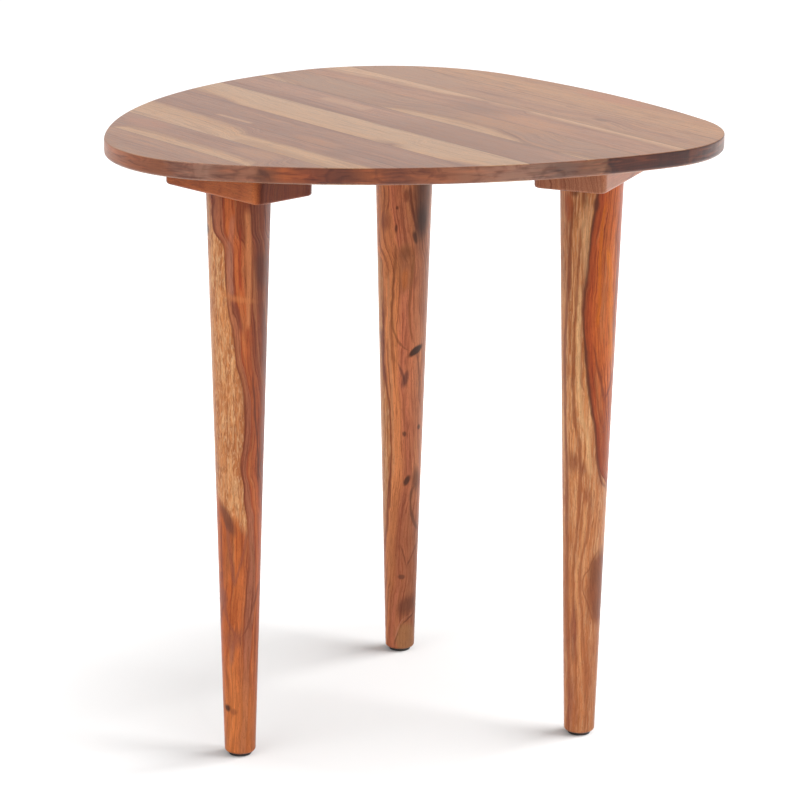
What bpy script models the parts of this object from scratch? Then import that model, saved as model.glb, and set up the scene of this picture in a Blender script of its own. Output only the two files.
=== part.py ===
"""Side table with a rounded-triangle top and turned, tapered legs.

The top is glued up from parallel boards and cut to a rounded triangle. Under it, over each leg,
a cleat is glued and screwed on. A threaded insert in the cleat takes the hanger bolt that stands
in the leg's top end, so the legs screw off. Each foot stands on a nail-on glide.

Metres, +Z up. The origin lies on the floor, under the middle of the top's bounding box, and
-Y is the front.
"""
import math

import bmesh
import bpy
from mathutils import Vector

# Top
TOP_WIDTH = 0.543
TOP_DEPTH = 0.486
TOP_THICKNESS = 0.015
TOP_EDGE_ROUND = 0.0028

# Boards of the top, alike in width but for the first and last, which are shares of the others
BOARD_COUNT = 10
FIRST_BOARD_SHARE = 1.03
LAST_BOARD_SHARE = 1.27
BOARD_DIRECTION = -52.5
GLUE_LINE = 0.0001

# Top's outline before it is fitted to the width and depth, in shares of the width. Each corner is
# an arc, given by its centre's x and y and its radius, and each side an arc tangent to two corners.
CORNER_SHARES = (
    (-0.2746, -0.2057, 0.2249),
    (0.3013, -0.1236, 0.1989),
    (-0.0348, 0.1506, 0.2971),
)
SIDE_RADIUS_SHARES = (0.9628, 1.4177, 0.7133)

# Legs, each set in from the rim along its direction from the middle of the top
LEG_LENGTH = 0.5145
LEG_TOP_DIAMETER = 0.0563
LEG_FOOT_DIAMETER = 0.0276
LEG_TOP_ARRIS = 0.001
LEG_FOOT_ROUND = 0.003
FRONT_LEFT_LEG_INSET = 0.0898
FRONT_LEFT_LEG_DIRECTION = 224.5
FRONT_RIGHT_LEG_INSET = 0.1019
FRONT_RIGHT_LEG_DIRECTION = -30.0
BACK_LEG_INSET = 0.1062
BACK_LEG_DIRECTION = 94.2

# Cleats, long side across the direction that each one faces
CLEAT_LENGTH = 0.124
CLEAT_WIDTH = 0.0666
CLEAT_THICKNESS = 0.0235
CLEAT_CORNER_ROUND = 0.008
CLEAT_EDGE_ROUND = 0.0025
FRONT_LEFT_CLEAT_FACING = 224.0
FRONT_RIGHT_CLEAT_FACING = -22.5
BACK_CLEAT_FACING = 99.7

# Hanger bolt and threaded insert
BOLT_DIAMETER = 0.008
BOLT_WOOD_LENGTH = 0.038
BOLT_POINT_LENGTH = 0.006
BOLT_POINT_DIAMETER = 0.003
BOLT_MACHINE_LENGTH = 0.017
BOLT_END_ARRIS = 0.0008
INSERT_DIAMETER = 0.012
INSERT_LENGTH = 0.020
INSERT_FLANGE_DIAMETER = 0.017
INSERT_FLANGE_THICKNESS = 0.0015

# Cleat screws
SCREW_HEAD_DIAMETER = 0.0085
SCREW_HEAD_HEIGHT = 0.0036
SCREW_RIM_HEIGHT = 0.0005
SCREW_DIAMETER = 0.004
SCREW_BITE = 0.0095
SCREW_POINT_LENGTH = 0.004
SCREW_POINT_DIAMETER = 0.001
SCREW_HEAD_SINK = 0.0006
SCREW_INSET_ALONG = 0.014
SCREW_INSET_ACROSS = 0.014
SCREW_SLOT_WIDTH = 0.001
SCREW_SLOT_LENGTH = 0.0046
SCREW_SLOT_DEPTH = 0.0018

# Glides
GLIDE_DIAMETER = 0.0205
GLIDE_HEIGHT = 0.0025
GLIDE_EDGE_ROUND = 0.0006
GLIDE_NAIL_DIAMETER = 0.002
GLIDE_NAIL_LENGTH = 0.013

# Fits and making
FIT_GAP = 0.0003
CUT_OVERRUN = 0.002
CHORD_ERROR = 0.00008
WELD_DISTANCE = 0.00001
LEG_STEPS = 40
HARDWARE_STEPS = 20
SCREW_STEPS = 12
CORNER_STEPS = 5
ROUND_STEPS = 3
RIM_LEAST_ANGLE = 60.0
CAP_FLAT_ANGLE = 0.5

# Levels, from the floor up
LEG_FOOT_Z = GLIDE_HEIGHT + FIT_GAP
LEG_TOP_Z = LEG_FOOT_Z + LEG_LENGTH
CLEAT_Z = LEG_TOP_Z + FIT_GAP
TOP_Z = CLEAT_Z + CLEAT_THICKNESS + FIT_GAP


def heading(degrees):
    """Unit vector in the plan, anticlockwise from +X."""
    angle = math.radians(degrees)
    return Vector((math.cos(angle), math.sin(angle)))


def arc(centre, radius, start, end, steps):
    """Points along an arc, both ends included, angles in radians."""
    turns = [start + (end - start) * i / steps for i in range(steps + 1)]
    return [(centre[0] + radius * math.cos(t), centre[1] + radius * math.sin(t)) for t in turns]


def clear_scene():
    for item in list(bpy.data.objects):
        bpy.data.objects.remove(item)


def new_collection(name):
    collection = bpy.data.collections.new(name)
    bpy.context.scene.collection.children.link(collection)
    return collection


def new_material(name, colour, roughness, metallic=0.0):
    material = bpy.data.materials.new(name)
    material.use_nodes = True
    shader = material.node_tree.nodes["Principled BSDF"]
    shader.inputs["Base Color"].default_value = (*colour, 1.0)
    shader.inputs["Roughness"].default_value = roughness
    shader.inputs["Metallic"].default_value = metallic
    return material


def add_part(name, mesh, collection, material=None, parent=None):
    part = bpy.data.objects.new(name, mesh)
    collection.objects.link(part)
    part.parent = parent
    if material is not None:
        part.data.materials.clear()
        part.data.materials.append(material)
    return part


def add_cutter(name, mesh, collection, parent=None):
    cutter = add_part(name, mesh, collection, parent=parent)
    cutter.hide_render = True
    cutter.display_type = "WIRE"
    return cutter


def add_boolean(part, operation, cutter=None, collection=None):
    modifier = part.modifiers.new("Boolean " + operation.lower(), "BOOLEAN")
    modifier.operation = operation
    modifier.solver = "EXACT"
    if collection is not None:
        modifier.operand_type = "COLLECTION"
        modifier.collection = collection
    else:
        modifier.object = cutter


def add_rounding(part, radius, limit):
    """Round the part's edges: the square ones, or those that carry a bevel weight."""
    modifier = part.modifiers.new("Rounded edges", "BEVEL")
    modifier.width = radius
    modifier.segments = ROUND_STEPS
    modifier.limit_method = limit
    modifier.angle_limit = math.radians(RIM_LEAST_ANGLE)


def profile_mesh(name, profile):
    """An open chain of edges in the XZ plane, from (radius, height) pairs."""
    mesh = bpy.data.meshes.new(name)
    form = bmesh.new()
    verts = [form.verts.new((radius, 0.0, height)) for radius, height in profile]
    for first, second in zip(verts, verts[1:]):
        form.edges.new((first, second))
    form.to_mesh(mesh)
    form.free()
    return mesh


def add_lathe(part, steps):
    """Turn the part's profile round its own Z axis."""
    modifier = part.modifiers.new("Lathe", "SCREW")
    modifier.axis = "Z"
    modifier.angle = math.tau
    modifier.steps = steps
    modifier.render_steps = steps
    modifier.use_merge_vertices = True
    modifier.merge_threshold = WELD_DISTANCE
    modifier.use_smooth_shade = True


def box_mesh(name, length, width, height):
    mesh = bpy.data.meshes.new(name)
    form = bmesh.new()
    bmesh.ops.create_cube(form, size=1.0)
    bmesh.ops.scale(form, vec=(length, width, height), verts=form.verts)
    form.to_mesh(mesh)
    form.free()
    return mesh


def side_centre(corner, next_corner, side_radius):
    """Centre of the arc of side_radius that holds both corner circles inside and touches them."""
    (start, start_radius), (end, end_radius) = corner, next_corner
    span = end - start
    from_start = side_radius - start_radius
    from_end = side_radius - end_radius
    along = (from_start ** 2 - from_end ** 2 + span.length_squared) / (2 * span.length)
    inward = math.sqrt(from_start ** 2 - along ** 2)
    direction = span.normalized()
    return start + along * direction + inward * Vector((-direction.y, direction.x))


def direction_of(start, end):
    return math.atan2(end.y - start.y, end.x - start.x)


def outline_arc(centre, radius, start, end):
    """Points of an arc in steps that stay within CHORD_ERROR of it, without its last point."""
    sweep = (end - start) % math.tau
    step = 2 * math.acos(1 - CHORD_ERROR / radius)
    return arc(centre, radius, start, start + sweep, math.ceil(sweep / step))[:-1]


def top_outline():
    """The rounded triangle, anticlockwise, fitted to the top's width and depth round the origin."""
    corners = [(Vector((x, y)) * TOP_WIDTH, share * TOP_WIDTH) for x, y, share in CORNER_SHARES]
    radii = [share * TOP_WIDTH for share in SIDE_RADIUS_SHARES]
    following = corners[1:] + corners[:1]
    centres = [side_centre(*sides) for sides in zip(corners, following, radii)]
    points = []
    for i, (centre, radius) in enumerate(corners):
        turn = direction_of(centres[i], centre)
        points += outline_arc(centre, radius, direction_of(centres[i - 1], centre), turn)
        points += outline_arc(centres[i], radii[i], turn, direction_of(centres[i], following[i][0]))
    xs, ys = zip(*points)
    left, right, front, back = min(xs), max(xs), min(ys), max(ys)
    return [Vector(((x - (left + right) / 2) * TOP_WIDTH / (right - left),
                    (y - (front + back) / 2) * TOP_DEPTH / (back - front))) for x, y in points]


def rim_distance(outline, direction):
    """How far the rim lies from the origin along a direction."""
    for point, following in zip(outline, outline[1:] + outline[:1]):
        side = following - point
        turn = direction.x * side.y - direction.y * side.x
        along = (point.x * side.y - point.y * side.x) / turn if turn else 0
        share = (point.x * direction.y - point.y * direction.x) / turn if turn else -1
        if along > 0 and 0 <= share <= 1:
            return along
    raise ValueError("the outline doesn't go round the origin")


def top_blank_mesh(outline):
    """The whole top as one slab, its outline round the origin, before it is cut into boards."""
    curve = bpy.data.curves.new("top_outline", "CURVE")
    curve.dimensions = "2D"
    curve.fill_mode = "BOTH"
    curve.extrude = TOP_THICKNESS / 2
    spline = curve.splines.new("POLY")
    spline.points.add(len(outline) - 1)
    for point, place in zip(spline.points, outline):
        point.co = (place.x, place.y, 0.0, 1.0)
    spline.use_cyclic_u = True
    guide = bpy.data.objects.new("top_outline", curve)
    bpy.context.scene.collection.objects.link(guide)
    evaluated = guide.evaluated_get(bpy.context.evaluated_depsgraph_get())
    mesh = bpy.data.meshes.new_from_object(evaluated)
    bpy.data.objects.remove(guide)
    form = bmesh.new()
    form.from_mesh(mesh)
    bmesh.ops.remove_doubles(form, verts=form.verts, dist=WELD_DISTANCE)
    bmesh.ops.dissolve_limit(form, angle_limit=math.radians(CAP_FLAT_ANGLE), verts=form.verts,
                             edges=form.edges)
    bmesh.ops.recalc_face_normals(form, faces=form.faces)
    form.to_mesh(mesh)
    form.free()
    mesh.name = "top_blank"
    return mesh


def board_strips(outline):
    """(lower edge, upper edge) of each board, measured across the boards from the origin."""
    across = heading(BOARD_DIRECTION + 90)
    places = [point.dot(across) for point in outline]
    low, high = min(places), max(places)
    shares = [FIRST_BOARD_SHARE, *[1.0] * (BOARD_COUNT - 2), LAST_BOARD_SHARE]
    width = (high - low) / sum(shares)
    seams = [low + width * sum(shares[:i]) for i in range(1, BOARD_COUNT)]
    edges = [low - CUT_OVERRUN, *seams, high + CUT_OVERRUN]
    return list(zip(edges, edges[1:]))


def add_top_boards(outline, parts, cutters, screw_holes, materials):
    blank = top_blank_mesh(outline)
    across = heading(BOARD_DIRECTION + 90)
    length = 2 * max(point.length for point in outline) + 2 * CUT_OVERRUN
    for number, (low, high) in enumerate(board_strips(outline), start=1):
        name = f"top_board_{number:02d}"
        board = add_part(name, blank.copy(), parts, materials[(number - 1) % len(materials)])
        board.location.z = TOP_Z + TOP_THICKNESS / 2
        add_rounding(board, min(TOP_EDGE_ROUND, TOP_THICKNESS / 2), "ANGLE")
        width = high - low - GLUE_LINE
        strip_mesh = box_mesh(name + "_strip", length, width, TOP_THICKNESS + CUT_OVERRUN)
        strip = add_cutter(name + "_strip", strip_mesh, cutters)
        middle = across * (low + high) / 2
        strip.location = (middle.x, middle.y, board.location.z)
        strip.rotation_euler.z = math.radians(BOARD_DIRECTION)
        add_boolean(board, "INTERSECT", cutter=strip)
        add_boolean(board, "DIFFERENCE", collection=screw_holes)


def cleat_mesh():
    """A block with its long side along Y and round corners, its lower edges marked for rounding."""
    corner = min(CLEAT_CORNER_ROUND, CLEAT_WIDTH / 2, CLEAT_LENGTH / 2)
    across, along = CLEAT_WIDTH / 2 - corner, CLEAT_LENGTH / 2 - corner
    plan = []
    for quarter, (x, y) in enumerate([(across, along), (-across, along), (-across, -along), (across, -along)]):
        turn = quarter * math.pi / 2
        plan += arc((x, y), corner, turn, turn + math.pi / 2, CORNER_STEPS)
    mesh = bpy.data.meshes.new("cleat")
    form = bmesh.new()
    face = form.faces.new([form.verts.new((x, y, -CLEAT_THICKNESS / 2)) for x, y in plan])
    raised = bmesh.ops.extrude_face_region(form, geom=[face])
    lifted = [item for item in raised["geom"] if isinstance(item, bmesh.types.BMVert)]
    bmesh.ops.translate(form, vec=(0, 0, CLEAT_THICKNESS), verts=lifted)
    bmesh.ops.recalc_face_normals(form, faces=form.faces)
    weight = form.edges.layers.float.new("bevel_weight_edge")
    for edge in form.edges:
        edge[weight] = float(max(vert.co.z for vert in edge.verts) < 0)
    form.to_mesh(mesh)
    form.free()
    return mesh


def insert_hole_profile():
    """Bore and flange recess of the threaded insert, through the cleat, about the leg's axis."""
    wall = INSERT_DIAMETER / 2 + FIT_GAP
    recess = INSERT_FLANGE_DIAMETER / 2 + FIT_GAP
    shoulder = CLEAT_Z + INSERT_FLANGE_THICKNESS + FIT_GAP
    above = CLEAT_Z + CLEAT_THICKNESS + CUT_OVERRUN
    below = CLEAT_Z - CUT_OVERRUN
    return [(0, above), (wall, above), (wall, shoulder), (recess, shoulder), (recess, below), (0, below)]


def insert_profile():
    """Flanged sleeve, flange down and flush with the cleat's underside, bored for the bolt."""
    bore = BOLT_DIAMETER / 2 + FIT_GAP
    wall = INSERT_DIAMETER / 2
    flange = INSERT_FLANGE_DIAMETER / 2
    top = CLEAT_Z + INSERT_LENGTH
    shoulder = CLEAT_Z + INSERT_FLANGE_THICKNESS
    return [(bore, top), (wall, top), (wall, shoulder), (flange, shoulder), (flange, CLEAT_Z),
            (bore, CLEAT_Z), (bore, top)]


def bolt_profile():
    """Machine end up in the insert, wood end and point down in the leg."""
    radius = BOLT_DIAMETER / 2
    top = CLEAT_Z + BOLT_MACHINE_LENGTH
    end = LEG_TOP_Z - BOLT_WOOD_LENGTH
    return [(0, top), (radius - BOLT_END_ARRIS, top), (radius, top - BOLT_END_ARRIS),
            (radius, end + BOLT_POINT_LENGTH), (BOLT_POINT_DIAMETER / 2, end), (0, end)]


def leg_profile():
    """A straight cone with its pilot hole above, its nail hole below and a rounded foot."""
    pilot = BOLT_DIAMETER / 2 + FIT_GAP
    pilot_floor = LEG_TOP_Z - BOLT_WOOD_LENGTH - FIT_GAP
    nail = GLIDE_NAIL_DIAMETER / 2 + FIT_GAP
    nail_roof = GLIDE_HEIGHT + GLIDE_NAIL_LENGTH + FIT_GAP
    head = LEG_TOP_DIAMETER / 2
    foot = LEG_FOOT_DIAMETER / 2
    taper = (head - foot) / LEG_LENGTH
    round_centre = (foot - LEG_FOOT_ROUND, LEG_FOOT_Z + LEG_FOOT_ROUND)
    rounded = arc(round_centre, LEG_FOOT_ROUND, math.atan(-taper), -math.pi / 2, ROUND_STEPS)
    return [(0, pilot_floor), (pilot, pilot_floor), (pilot, LEG_TOP_Z),
            (head - LEG_TOP_ARRIS, LEG_TOP_Z), (head, LEG_TOP_Z - LEG_TOP_ARRIS), *rounded,
            (nail, LEG_FOOT_Z), (nail, nail_roof), (0, nail_roof)]


def glide_profile():
    """A low disc on the floor with its nail standing up into the foot."""
    radius = GLIDE_DIAMETER / 2
    nail = GLIDE_NAIL_DIAMETER / 2
    tip = GLIDE_HEIGHT + GLIDE_NAIL_LENGTH
    round_centre = (radius - GLIDE_EDGE_ROUND, GLIDE_EDGE_ROUND)
    rounded = arc(round_centre, GLIDE_EDGE_ROUND, 0, -math.pi / 2, ROUND_STEPS)
    return [(0, tip), (nail, tip - GLIDE_NAIL_DIAMETER), (nail, GLIDE_HEIGHT), (radius, GLIDE_HEIGHT),
            *rounded, (0, 0)]


def screw_profile():
    """Countersunk wood screw, head down in the cleat and point up in the top."""
    head = SCREW_HEAD_DIAMETER / 2
    shank = SCREW_DIAMETER / 2
    bottom = CLEAT_Z + SCREW_HEAD_SINK
    tip = TOP_Z + SCREW_BITE
    return [(0, tip), (SCREW_POINT_DIAMETER / 2, tip), (shank, tip - SCREW_POINT_LENGTH),
            (shank, bottom + SCREW_HEAD_HEIGHT), (head, bottom + SCREW_RIM_HEIGHT), (head, bottom),
            (0, bottom)]


def screw_hole_profile():
    """Countersink, clearance hole and pilot hole for one cleat screw."""
    head = SCREW_HEAD_DIAMETER / 2 + FIT_GAP
    shank = SCREW_DIAMETER / 2 + FIT_GAP
    bottom = CLEAT_Z + SCREW_HEAD_SINK
    tip = TOP_Z + SCREW_BITE + FIT_GAP
    return [(0, tip), (shank, tip), (shank, bottom + SCREW_HEAD_HEIGHT + FIT_GAP),
            (head, bottom + SCREW_RIM_HEIGHT + FIT_GAP), (head, CLEAT_Z - CUT_OVERRUN),
            (0, CLEAT_Z - CUT_OVERRUN)]


def screw_slot_mesh():
    """Cross recess of a cleat screw, as a cross of two bars in one closed outline."""
    half, reach = SCREW_SLOT_WIDTH / 2, SCREW_SLOT_LENGTH / 2
    cross = []
    for quarter in range(4):
        turn = quarter * math.pi / 2
        for x, y in [(reach, -half), (reach, half), (half, half)]:
            cross.append((x * math.cos(turn) - y * math.sin(turn), x * math.sin(turn) + y * math.cos(turn)))
    low = CLEAT_Z + SCREW_HEAD_SINK - FIT_GAP
    mesh = bpy.data.meshes.new("screw_slot")
    form = bmesh.new()
    face = form.faces.new([form.verts.new((x, y, low)) for x, y in cross])
    raised = bmesh.ops.extrude_face_region(form, geom=[face])
    lifted = [item for item in raised["geom"] if isinstance(item, bmesh.types.BMVert)]
    bmesh.ops.translate(form, vec=(0, 0, SCREW_SLOT_DEPTH + FIT_GAP), verts=lifted)
    bmesh.ops.recalc_face_normals(form, faces=form.faces)
    form.to_mesh(mesh)
    form.free()
    return mesh


def add_turned(name, mesh, collection, steps, material, parent):
    part = add_part(name, mesh, collection, material, parent)
    add_lathe(part, steps)
    return part


def screw_places():
    """The four screws of a cleat, in the cleat's frame."""
    along = CLEAT_LENGTH / 2 - SCREW_INSET_ALONG
    across = CLEAT_WIDTH / 2 - SCREW_INSET_ACROSS
    return [(across, -along), (across, along), (-across, along), (-across, -along)]


def add_station(name, place, facing, parts, cutters, screw_holes, meshes, materials):
    """One leg with its cleat, hardware and glide, about an empty that faces out from the table."""
    station = bpy.data.objects.new("station_" + name, None)
    station.location = (*place, 0)
    station.rotation_euler.z = math.radians(facing)
    parts.objects.link(station)

    cleat = add_part("cleat_" + name, meshes["cleat"], parts, materials["cleat"], station)
    cleat.location.z = CLEAT_Z + CLEAT_THICKNESS / 2
    add_rounding(cleat, min(CLEAT_EDGE_ROUND, CLEAT_THICKNESS / 2), "WEIGHT")
    insert_hole = add_cutter("insert_hole_" + name, meshes["insert_hole"], cutters, station)
    add_lathe(insert_hole, HARDWARE_STEPS)
    add_boolean(cleat, "DIFFERENCE", cutter=insert_hole)
    add_boolean(cleat, "DIFFERENCE", collection=screw_holes)

    steel = materials["steel"]
    add_turned("leg_" + name, meshes["leg"], parts, LEG_STEPS, materials["leg"], station)
    add_turned("hanger_bolt_" + name, meshes["bolt"], parts, HARDWARE_STEPS, steel, station)
    add_turned("threaded_insert_" + name, meshes["insert"], parts, HARDWARE_STEPS, steel, station)
    add_turned("glide_" + name, meshes["glide"], parts, HARDWARE_STEPS, materials["glide"], station)

    for number, (x, y) in enumerate(screw_places(), start=1):
        label = f"{name}_{number}"
        hole = add_cutter("screw_hole_" + label, meshes["screw_hole"], screw_holes, station)
        add_lathe(hole, SCREW_STEPS)
        slot = add_cutter("screw_slot_" + label, meshes["screw_slot"], cutters, station)
        screw = add_turned("cleat_screw_" + label, meshes["screw"], parts, SCREW_STEPS, steel, station)
        add_boolean(screw, "DIFFERENCE", cutter=slot)
        for item in (hole, slot, screw):
            item.location = (x, y, 0)


def build_table():
    clear_scene()
    parts = new_collection("side_table")
    cutters = new_collection("cutters")
    screw_holes = bpy.data.collections.new("screw_hole_cutters")
    cutters.children.link(screw_holes)

    boards = [
        new_material("rosewood_board_dark", (0.27, 0.13, 0.075), 0.34),
        new_material("rosewood_board_light", (0.47, 0.29, 0.16), 0.34),
        new_material("rosewood_board_brown", (0.35, 0.17, 0.09), 0.34),
    ]
    materials = {
        "cleat": new_material("rosewood_cleat", (0.42, 0.17, 0.07), 0.38),
        "leg": new_material("rosewood_leg", (0.44, 0.18, 0.07), 0.36),
        "steel": new_material("zinc_plated_steel", (0.62, 0.61, 0.58), 0.35, 1.0),
        "glide": new_material("dark_nylon", (0.035, 0.03, 0.028), 0.5),
    }
    meshes = {
        "cleat": cleat_mesh(),
        "leg": profile_mesh("leg", leg_profile()),
        "bolt": profile_mesh("hanger_bolt", bolt_profile()),
        "insert": profile_mesh("threaded_insert", insert_profile()),
        "insert_hole": profile_mesh("insert_hole", insert_hole_profile()),
        "glide": profile_mesh("glide", glide_profile()),
        "screw": profile_mesh("cleat_screw", screw_profile()),
        "screw_hole": profile_mesh("screw_hole", screw_hole_profile()),
        "screw_slot": screw_slot_mesh(),
    }

    outline = top_outline()
    stations = [
        ("front_left", FRONT_LEFT_LEG_INSET, FRONT_LEFT_LEG_DIRECTION, FRONT_LEFT_CLEAT_FACING),
        ("front_right", FRONT_RIGHT_LEG_INSET, FRONT_RIGHT_LEG_DIRECTION, FRONT_RIGHT_CLEAT_FACING),
        ("back", BACK_LEG_INSET, BACK_LEG_DIRECTION, BACK_CLEAT_FACING),
    ]
    for name, inset, direction, facing in stations:
        outward = heading(direction)
        place = outward * (rim_distance(outline, outward) - inset)
        add_station(name, place, facing, parts, cutters, screw_holes, meshes, materials)
    add_top_boards(outline, parts, cutters, screw_holes, boards)


build_table()
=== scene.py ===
"""Side table: a rounded-triangle top of glued rosewood boards on three turned, tapered legs.

Metres, +Z up, -Y the front. The sections follow the table as it is put together: the boards of the
top, the cleats under it with their threaded inserts and screws, the legs with their hanger bolts, and
the glides. The studio comes last.
"""
import math

import bpy
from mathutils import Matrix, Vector


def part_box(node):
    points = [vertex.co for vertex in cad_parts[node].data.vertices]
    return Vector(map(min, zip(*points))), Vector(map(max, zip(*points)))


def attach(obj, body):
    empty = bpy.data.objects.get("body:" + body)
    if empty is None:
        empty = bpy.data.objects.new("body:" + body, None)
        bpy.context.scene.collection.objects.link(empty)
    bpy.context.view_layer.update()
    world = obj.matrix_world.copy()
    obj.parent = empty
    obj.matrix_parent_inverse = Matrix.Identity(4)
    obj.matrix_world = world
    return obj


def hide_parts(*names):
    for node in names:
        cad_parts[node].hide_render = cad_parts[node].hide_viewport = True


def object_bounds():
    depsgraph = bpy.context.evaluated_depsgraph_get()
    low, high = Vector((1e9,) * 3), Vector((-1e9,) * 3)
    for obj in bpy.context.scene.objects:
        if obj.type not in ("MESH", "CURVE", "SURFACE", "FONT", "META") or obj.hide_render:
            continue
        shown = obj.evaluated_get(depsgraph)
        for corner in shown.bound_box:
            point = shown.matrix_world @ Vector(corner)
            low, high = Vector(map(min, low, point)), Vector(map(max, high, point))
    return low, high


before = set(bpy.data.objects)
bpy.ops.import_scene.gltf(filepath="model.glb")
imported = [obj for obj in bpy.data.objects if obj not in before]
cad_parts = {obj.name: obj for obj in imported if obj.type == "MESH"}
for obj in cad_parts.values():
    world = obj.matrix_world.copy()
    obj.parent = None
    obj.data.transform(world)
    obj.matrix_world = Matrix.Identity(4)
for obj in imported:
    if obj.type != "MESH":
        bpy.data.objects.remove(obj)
cad_low, cad_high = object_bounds()

# Tabletop. Ten boards of sheesham, an Indian rosewood, are planed to 15 mm and edge-glued side by side.
# The panel is then sawn to a rounded triangle, and its rim is sanded, little above and more below.
TOP_CORNERS = (
    (-0.14911, -0.11170, 0.12212),
    (0.16361, -0.06711, 0.10800),
    (-0.01890, 0.08178, 0.16133),
)
TOP_SIDE_RADII = (0.52280, 0.76981, 0.38732)
RIM_STEP = 0.003
RIM_UPPER_ARRIS = 0.0012
RIM_LOWER_ARRIS = 0.0034
ARRIS_STEPS = 4
BOARD_DIRECTION = math.radians(-52.5)
GLUE_SEAT = 0.00005
SCREW_DIAMETER = 0.004
PILOT_CLEARANCE = 0.0003
PILOT_STEPS = 24
WELD = 0.00001
LACQUER_IOR = 1.42
ALONG_BOARDS = Vector((math.cos(BOARD_DIRECTION), math.sin(BOARD_DIRECTION), 0))
ACROSS_BOARDS = Vector((-ALONG_BOARDS.y, ALONG_BOARDS.x, 0))

# The wood's figure is drawn in mm: how many there are in a metre, a year's growth, how far the bands of
# colour drift, how deep knots and stains go, how far a vein fades past its end and within it, and half of
# a glue line's width
MM = 1000
YEAR_WIDTH = 3.4
BAND_DRIFT = 4
KNOT_DEPTH = 30
STAIN_DEPTH = 12
VEIN_FADE_PAST = 3
VEIN_FADE_WITHIN = 5
GLUE_LINE = 0.5


def nodes_named(start):
    return [node for name, node in sorted(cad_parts.items()) if name.startswith(start)]


def select_only(piece):
    """Deselect everything, then select one object and make it active."""
    bpy.ops.object.select_all(action="DESELECT")
    piece.select_set(True)
    bpy.context.view_layer.objects.active = piece


def select_where(piece, domain, wanted):
    """In edit mode, select only the vertices, edges or polygons for which wanted is true."""
    bpy.ops.mesh.select_mode(type={"vertices": "VERT", "edges": "EDGE", "polygons": "FACE"}[domain])
    bpy.ops.mesh.select_all(action="DESELECT")
    bpy.ops.object.mode_set(mode="OBJECT")
    for item in getattr(piece.data, domain):
        item.select = wanted(item)
    bpy.ops.object.mode_set(mode="EDIT")


def edges_at(piece, level):
    """A test for select_where: is this edge of the piece level, at that height?"""
    return lambda edge: all(abs(piece.data.vertices[i].co.z - level) < WELD for i in edge.vertices)


def apply_modifier(piece, kind, **settings):
    """Add a modifier with these settings to a piece and apply it."""
    select_only(piece)
    modifier = piece.modifiers.new(kind.title(), kind)
    for name, value in settings.items():
        setattr(modifier, name, value)
    bpy.ops.object.modifier_apply(modifier=modifier.name)


def smooth(piece, sharp_angle=35):
    """Shade a piece smooth, but keep its flat faces flat and its sharp edges sharp."""
    select_only(piece)
    bpy.ops.object.shade_smooth_by_angle(angle=math.radians(sharp_angle))
    apply_modifier(piece, "WEIGHTED_NORMAL", keep_sharp=True)


def copy_piece(piece, name):
    """A copy of a piece, with a mesh of its own."""
    twin = piece.copy()
    twin.data = piece.data.copy()
    twin.name = name
    bpy.context.scene.collection.objects.link(twin)
    return twin


def join_pieces(main, *others):
    """Join the other pieces to the main one, which keeps its name."""
    select_only(main)
    for other in others:
        other.select_set(True)
    bpy.ops.object.join()


def add_point(place):
    """A new mesh of one selected vertex at that place, left in edit mode to be extruded or spun.

    Vertex select mode is set here, because in any other a lone vertex can't be extruded or spun.
    """
    bpy.ops.mesh.primitive_plane_add()
    point = bpy.context.active_object
    bpy.ops.object.mode_set(mode="EDIT")
    bpy.ops.mesh.select_mode(type="VERT")
    bpy.ops.mesh.select_all(action="SELECT")
    bpy.ops.mesh.merge(type="CENTER")
    bpy.ops.transform.translate(value=place)
    return point


def side_centre(corner, following, radius):
    """Centre of the arc of that radius which holds two corner circles inside and touches both."""
    start, end = Vector(corner[:2]), Vector(following[:2])
    span = end - start
    from_start, from_end = radius - corner[2], radius - following[2]
    along = (from_start ** 2 - from_end ** 2 + span.length_squared) / (2 * span.length)
    inward = math.sqrt(from_start ** 2 - along ** 2)
    unit = span.normalized()
    return start + along * unit + inward * Vector((-unit.y, unit.x))


def bearing(start, end):
    return math.atan2(end.y - start.y, end.x - start.x)


def rim_arcs():
    """The arcs of the rim in turn, anticlockwise: centre, radius, first and last bearing."""
    following = TOP_CORNERS[1:] + TOP_CORNERS[:1]
    centres = [side_centre(*side) for side in zip(TOP_CORNERS, following, TOP_SIDE_RADII)]
    arcs = []
    for i, (x, y, radius) in enumerate(TOP_CORNERS):
        centre = Vector((x, y))
        turn = bearing(centres[i], centre)
        arcs.append((centre, radius, bearing(centres[i - 1], centre), turn))
        arcs.append((centres[i], TOP_SIDE_RADII[i], turn, bearing(centres[i], Vector(following[i][:2]))))
    return arcs


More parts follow.
